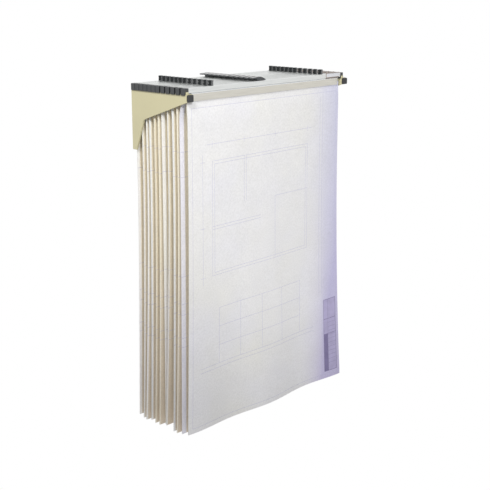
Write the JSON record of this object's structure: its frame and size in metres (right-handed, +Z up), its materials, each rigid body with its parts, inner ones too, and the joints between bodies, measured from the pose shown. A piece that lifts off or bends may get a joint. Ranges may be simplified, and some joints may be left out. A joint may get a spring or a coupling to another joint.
{
  "type": "plan hanging rack",
  "caption": "Wall rack of two steel brackets that carries a row of lift-out aluminium clamps, each gripping a hanging pack of large drawing sheets.",
  "frame": {"origin": "on the wall plane, midway between the outer faces of the two bracket plates, at the height of the brackets' top edges", "axes": "+X along the clamps to the right, +Y into the wall, +Z up"},
  "size_m": [0.6543, 0.2355, 0.953],
  "materials": {
    "sand_paint": "satin powder coat",
    "aluminium": "satin anodised",
    "black_plastic": "moulded",
    "black_rubber": "matt",
    "paper": "uncoated drawing paper",
    "label_plastic": "clear strip",
    "card": "blank card"
  },
  "bodies": {
    "rack": {"left_bracket": "sand_paint", "right_bracket": "sand_paint", "left_bumper": "black_rubber", "right_bumper": "black_rubber"},
    "clamp_01": {"clamp_01_bar": "aluminium", "clamp_01_sheets": "paper"},
    "clamp_01_left_knob": {"clamp_01_left_knob": "black_plastic"},
    "clamp_01_right_knob": {"clamp_01_right_knob": "black_plastic"},
    "clamp_02": {"clamp_02_bar": "aluminium", "clamp_02_sheets": "paper"},
    "clamp_02_left_knob": {"clamp_02_left_knob": "black_plastic"},
    "clamp_02_right_knob": {"clamp_02_right_knob": "black_plastic"},
    "clamp_03": {"clamp_03_bar": "aluminium", "clamp_03_sheets": "paper"},
    "clamp_03_left_knob": {"clamp_03_left_knob": "black_plastic"},
    "clamp_03_right_knob": {"clamp_03_right_knob": "black_plastic"},
    "clamp_04": {"clamp_04_bar": "aluminium", "clamp_04_sheets": "paper"},
    "clamp_04_left_knob": {"clamp_04_left_knob": "black_plastic"},
    "clamp_04_right_knob": {"clamp_04_right_knob": "black_plastic"},
    "clamp_05": {"clamp_05_bar": "aluminium", "clamp_05_sheets": "paper"},
    "clamp_05_left_knob": {"clamp_05_left_knob": "black_plastic"},
    "clamp_05_right_knob": {"clamp_05_right_knob": "black_plastic"},
    "clamp_06": {"clamp_06_bar": "aluminium", "clamp_06_sheets": "paper"},
    "clamp_06_left_knob": {"clamp_06_left_knob": "black_plastic"},
    "clamp_06_right_knob": {"clamp_06_right_knob": "black_plastic"},
    "clamp_07": {"clamp_07_bar": "aluminium", "clamp_07_sheets": "paper"},
    "clamp_07_left_knob": {"clamp_07_left_knob": "black_plastic"},
    "clamp_07_right_knob": {"clamp_07_right_knob": "black_plastic"},
    "clamp_08": {"clamp_08_bar": "aluminium", "clamp_08_sheets": "paper"},
    "clamp_08_left_knob": {"clamp_08_left_knob": "black_plastic"},
    "clamp_08_right_knob": {"clamp_08_right_knob": "black_plastic"},
    "clamp_09": {"clamp_09_bar": "aluminium", "clamp_09_sheets": "paper"},
    "clamp_09_left_knob": {"clamp_09_left_knob": "black_plastic"},
    "clamp_09_right_knob": {"clamp_09_right_knob": "black_plastic"},
    "clamp_10": {"clamp_10_bar": "aluminium", "clamp_10_sheets": "paper"},
    "clamp_10_left_knob": {"clamp_10_left_knob": "black_plastic"},
    "clamp_10_right_knob": {"clamp_10_right_knob": "black_plastic"},
    "clamp_11": {"clamp_11_bar": "aluminium", "clamp_11_sheets": "paper"},
    "clamp_11_left_knob": {"clamp_11_left_knob": "black_plastic"},
    "clamp_11_right_knob": {"clamp_11_right_knob": "black_plastic"},
    "clamp_12": {"clamp_12_body": "aluminium", "clamp_12_left_hanger": "black_plastic", "clamp_12_right_hanger": "black_plastic", "clamp_12_lifting_grip": "black_plastic", "clamp_12_label_holder": "label_plastic", "clamp_12_label_card": "card", "clamp_12_sheets": "paper"},
    "clamp_12_front_jaw": {"clamp_12_front_jaw": "aluminium"},
    "clamp_12_left_knob": {"clamp_12_left_knob": "black_plastic"},
    "clamp_12_right_knob": {"clamp_12_right_knob": "black_plastic"}
  },
  "joints": [
    {"name": "clamp_01_lift", "type": "slide", "parent": "rack", "child": "clamp_01", "axis": [0, 0, 1], "range_m": [0, 0.06]},
    {"name": "clamp_02_lift", "type": "slide", "parent": "rack", "child": "clamp_02", "axis": [0, 0, 1], "range_m": [0, 0.06]},
    {"name": "clamp_03_lift", "type": "slide", "parent": "rack", "child": "clamp_03", "axis": [0, 0, 1], "range_m": [0, 0.06]},
    {"name": "clamp_04_lift", "type": "slide", "parent": "rack", "child": "clamp_04", "axis": [0, 0, 1], "range_m": [0, 0.06]},
    {"name": "clamp_05_lift", "type": "slide", "parent": "rack", "child": "clamp_05", "axis": [0, 0, 1], "range_m": [0, 0.06]},
    {"name": "clamp_06_lift", "type": "slide", "parent": "rack", "child": "clamp_06", "axis": [0, 0, 1], "range_m": [0, 0.06]},
    {"name": "clamp_07_lift", "type": "slide", "parent": "rack", "child": "clamp_07", "axis": [0, 0, 1], "range_m": [0, 0.06]},
    {"name": "clamp_08_lift", "type": "slide", "parent": "rack", "child": "clamp_08", "axis": [0, 0, 1], "range_m": [0, 0.06]},
    {"name": "clamp_09_lift", "type": "slide", "parent": "rack", "child": "clamp_09", "axis": [0, 0, 1], "range_m": [0, 0.06]},
    {"name": "clamp_10_lift", "type": "slide", "parent": "rack", "child": "clamp_10", "axis": [0, 0, 1], "range_m": [0, 0.06]},
    {"name": "clamp_11_lift", "type": "slide", "parent": "rack", "child": "clamp_11", "axis": [0, 0, 1], "range_m": [0, 0.06]},
    {"name": "clamp_12_lift", "type": "slide", "parent": "rack", "child": "clamp_12", "axis": [0, 0, 1], "range_m": [0, 0.06]},
    {"name": "clamp_12_jaw_open", "type": "hinge", "parent": "clamp_12", "child": "clamp_12_front_jaw", "pos_m": [0, -0.2045, 0.00235], "axis": [-1, 0, 0], "range_deg": [0, 10]},
    {"name": "clamp_01_left_knob_turn", "type": "hinge", "parent": "clamp_01", "child": "clamp_01_left_knob", "pos_m": [-0.2183, -0.0088, 0.015], "axis": [0, 0, 1], "range_deg": [0, 90]},
    {"name": "clamp_01_right_knob_turn", "type": "hinge", "parent": "clamp_01", "child": "clamp_01_right_knob", "pos_m": [0.225, -0.0088, 0.015], "axis": [0, 0, 1], "range_deg": [0, 90]},
    {"name": "clamp_02_left_knob_turn", "type": "hinge", "parent": "clamp_02", "child": "clamp_02_left_knob", "pos_m": [-0.2183, -0.0248, 0.015], "axis": [0, 0, 1], "range_deg": [0, 90]},
    {"name": "clamp_02_right_knob_turn", "type": "hinge", "parent": "clamp_02", "child": "clamp_02_right_knob", "pos_m": [0.225, -0.0248, 0.015], "axis": [0, 0, 1], "range_deg": [0, 90]},
    {"name": "clamp_03_left_knob_turn", "type": "hinge", "parent": "clamp_03", "child": "clamp_03_left_knob", "pos_m": [-0.2183, -0.0408, 0.015], "axis": [0, 0, 1], "range_deg": [0, 90]},
    {"name": "clamp_03_right_knob_turn", "type": "hinge", "parent": "clamp_03", "child": "clamp_03_right_knob", "pos_m": [0.225, -0.0408, 0.015], "axis": [0, 0, 1], "range_deg": [0, 90]},
    {"name": "clamp_04_left_knob_turn", "type": "hinge", "parent": "clamp_04", "child": "clamp_04_left_knob", "pos_m": [-0.2183, -0.0568, 0.015], "axis": [0, 0, 1], "range_deg": [0, 90]},
    {"name": "clamp_04_right_knob_turn", "type": "hinge", "parent": "clamp_04", "child": "clamp_04_right_knob", "pos_m": [0.225, -0.0568, 0.015], "axis": [0, 0, 1], "range_deg": [0, 90]},
    {"name": "clamp_05_left_knob_turn", "type": "hinge", "parent": "clamp_05", "child": "clamp_05_left_knob", "pos_m": [-0.2183, -0.0728, 0.015], "axis": [0, 0, 1], "range_deg": [0, 90]},
    {"name": "clamp_05_right_knob_turn", "type": "hinge", "parent": "clamp_05", "child": "clamp_05_right_knob", "pos_m": [0.225, -0.0728, 0.015], "axis": [0, 0, 1], "range_deg": [0, 90]},
    {"name": "clamp_06_left_knob_turn", "type": "hinge", "parent": "clamp_06", "child": "clamp_06_left_knob", "pos_m": [-0.2183, -0.0888, 0.015], "axis": [0, 0, 1], "range_deg": [0, 90]},
    {"name": "clamp_06_right_knob_turn", "type": "hinge", "parent": "clamp_06", "child": "clamp_06_right_knob", "pos_m": [0.225, -0.0888, 0.015], "axis": [0, 0, 1], "range_deg": [0, 90]},
    {"name": "clamp_07_left_knob_turn", "type": "hinge", "parent": "clamp_07", "child": "clamp_07_left_knob", "pos_m": [-0.2183, -0.1048, 0.015], "axis": [0, 0, 1], "range_deg": [0, 90]},
    {"name": "clamp_07_right_knob_turn", "type": "hinge", "parent": "clamp_07", "child": "clamp_07_right_knob", "pos_m": [0.225, -0.1048, 0.015], "axis": [0, 0, 1], "range_deg": [0, 90]},
    {"name": "clamp_08_left_knob_turn", "type": "hinge", "parent": "clamp_08", "child": "clamp_08_left_knob", "pos_m": [-0.2183, -0.1236, 0.015], "axis": [0, 0, 1], "range_deg": [0, 90]},
    {"name": "clamp_08_right_knob_turn", "type": "hinge", "parent": "clamp_08", "child": "clamp_08_right_knob", "pos_m": [0.225, -0.1236, 0.015], "axis": [0, 0, 1], "range_deg": [0, 90]},
    {"name": "clamp_09_left_knob_turn", "type": "hinge", "parent": "clamp_09", "child": "clamp_09_left_knob", "pos_m": [-0.2183, -0.1424, 0.015], "axis": [0, 0, 1], "range_deg": [0, 90]},
    {"name": "clamp_09_right_knob_turn", "type": "hinge", "parent": "clamp_09", "child": "clamp_09_right_knob", "pos_m": [0.225, -0.1424, 0.015], "axis": [0, 0, 1], "range_deg": [0, 90]},
    {"name": "clamp_10_left_knob_turn", "type": "hinge", "parent": "clamp_10", "child": "clamp_10_left_knob", "pos_m": [-0.2183, -0.1612, 0.015], "axis": [0, 0, 1], "range_deg": [0, 90]},
    {"name": "clamp_10_right_knob_turn", "type": "hinge", "parent": "clamp_10", "child": "clamp_10_right_knob", "pos_m": [0.225, -0.1612, 0.015], "axis": [0, 0, 1], "range_deg": [0, 90]},
    {"name": "clamp_11_left_knob_turn", "type": "hinge", "parent": "clamp_11", "child": "clamp_11_left_knob", "pos_m": [-0.2183, -0.18, 0.015], "axis": [0, 0, 1], "range_deg": [0, 90]},
    {"name": "clamp_11_right_knob_turn", "type": "hinge", "parent": "clamp_11", "child": "clamp_11_right_knob", "pos_m": [0.225, -0.18, 0.015], "axis": [0, 0, 1], "range_deg": [0, 90]},
    {"name": "clamp_12_left_knob_turn", "type": "hinge", "parent": "clamp_12", "child": "clamp_12_left_knob", "pos_m": [-0.2183, -0.1988, 0.015], "axis": [0, 0, 1], "range_deg": [0, 90]},
    {"name": "clamp_12_right_knob_turn", "type": "hinge", "parent": "clamp_12", "child": "clamp_12_right_knob", "pos_m": [0.225, -0.1988, 0.015], "axis": [0, 0, 1], "range_deg": [0, 90]}
  ],
  "couplings": [
    {"joint": "clamp_12_left_knob_turn", "follows": "clamp_12_jaw_open", "ratio": 9},
    {"joint": "clamp_12_right_knob_turn", "follows": "clamp_12_jaw_open", "ratio": 9}
  ]
}
